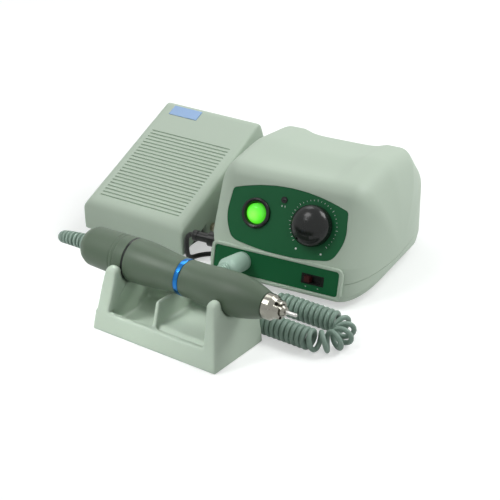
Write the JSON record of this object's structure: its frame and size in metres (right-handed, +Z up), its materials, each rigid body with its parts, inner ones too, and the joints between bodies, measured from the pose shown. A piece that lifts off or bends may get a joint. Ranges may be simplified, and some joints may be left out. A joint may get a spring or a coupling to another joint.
{
  "type": "micromotor handpiece set",
  "caption": "Laboratory micromotor set: rounded control box with rocker and speed knob, sloping foot pedal, straight handpiece in a cradle and a curly cord.",
  "frame": {"origin": "on the floor, under the middle of the set without its free cords", "axes": "+Z up, -Y towards the user, +X along the handpiece to its nose"},
  "size_m": [0.2426, 0.294, 0.0782],
  "materials": {
    "casing": "fine satin texture",
    "pedal_tray": "satin",
    "panel": "semi gloss printed film",
    "black_gloss": "glossy",
    "black_plastic": "satin",
    "lens": "clear tinted, lit",
    "slider": "satin",
    "rubber": "matte",
    "cable": "satin sheath",
    "cord": "satin sheath",
    "grip": "satin anodised",
    "accent": "metallic",
    "chrome": "polished",
    "steel": "turned",
    "brass": "turned",
    "copper": "enamelled wire",
    "iron": "laminated",
    "carbon": "pressed carbon",
    "board": "solder mask",
    "plate": "bare printed plate"
  },
  "bodies": {
    "set": {"case_cover": "casing", "case_base": "casing", "case_feet": "rubber", "case_screws": "steel", "front_bezel": "casing", "control_panel": "panel", "jack_panel": "panel", "power_switch": "black_gloss", "pilot_lamp": "black_gloss", "potentiometer": "steel", "selector_switch": "black_plastic", "handpiece_jack": "black_plastic", "pedal_jack": "black_plastic", "mains_inlet": "black_plastic", "transformer_core": "iron", "transformer_coil": "copper", "circuit_board": "board", "pedal_base": "pedal_tray", "pedal_pin": "brass", "pedal_spring": "steel", "pedal_sensor": "board", "pedal_feet": "rubber", "pedal_gland": "black_plastic", "cradle": "casing", "cradle_feet": "rubber", "cord_plug": "cord", "boot_lead": "cord", "curly_cord": "cord", "plug_lead": "cord", "pedal_plug": "black_plastic", "pedal_cable": "cable", "cable_coil": "cable", "gland_cable": "cable", "cable_tie": "cable"},
    "rocker": {"power_rocker": "lens"},
    "knob": {"speed_knob": "black_gloss", "knob_shaft": "steel"},
    "slider": {"selector_slider": "slider"},
    "treadle": {"pedal_cover": "casing", "pedal_plate": "plate", "sensor_magnet": "steel"},
    "handpiece": {"tail_cap": "grip", "tail_ring": "black_gloss", "grip_sleeve": "grip", "accent_ring": "accent", "front_housing": "steel", "nose_cone": "chrome", "motor_magnet": "iron", "rear_bearing": "steel", "front_bearings": "steel", "motor_brushes": "carbon", "tail_boot": "cord"},
    "chuck": {"chuck_sleeve": "grip"},
    "rotor": {"spindle": "steel", "motor_rotor": "copper", "collet": "chrome", "mandrel": "steel"}
  },
  "joints": [
    {"name": "rocker_tilt", "type": "hinge", "parent": "set", "child": "rocker", "pos_m": [0.02522, -0.00373, 0.04847], "axis": [-0.9903, -0.1392, 0], "range_deg": [0, 16]},
    {"name": "knob_turn", "type": "hinge", "parent": "set", "child": "knob", "pos_m": [0.06608, 0.00016, 0.04928], "axis": [-0.1271, 0.9047, -0.4067], "range_deg": [0, 300]},
    {"name": "selector_slide", "type": "slide", "parent": "set", "child": "slider", "axis": [0.9903, 0.1392, 0], "range_m": [0, 0.007]},
    {"name": "treadle_press", "type": "hinge", "parent": "set", "child": "treadle", "pos_m": [-0.07297, 0.01896, 0.0125], "axis": [-0.9986, -0.0523, 0], "range_deg": [0, 10], "stiffness_Nm_per_rad": 2, "springref_deg": -6.88, "deforming": ["pedal_spring"]},
    {"name": "handpiece_lift", "type": "slide", "parent": "set", "child": "handpiece", "axis": [0, 0, 1], "range_m": [0, 0.06]},
    {"name": "chuck_twist", "type": "hinge", "parent": "handpiece", "child": "chuck", "pos_m": [0.0595, -0.093, 0.043], "axis": [1, 0, 0], "range_deg": [0, 60]},
    {"name": "spindle_spin", "type": "hinge", "parent": "handpiece", "child": "rotor", "pos_m": [0.0195, -0.093, 0.043], "axis": [1, 0, 0], "continuous": true}
  ]
}
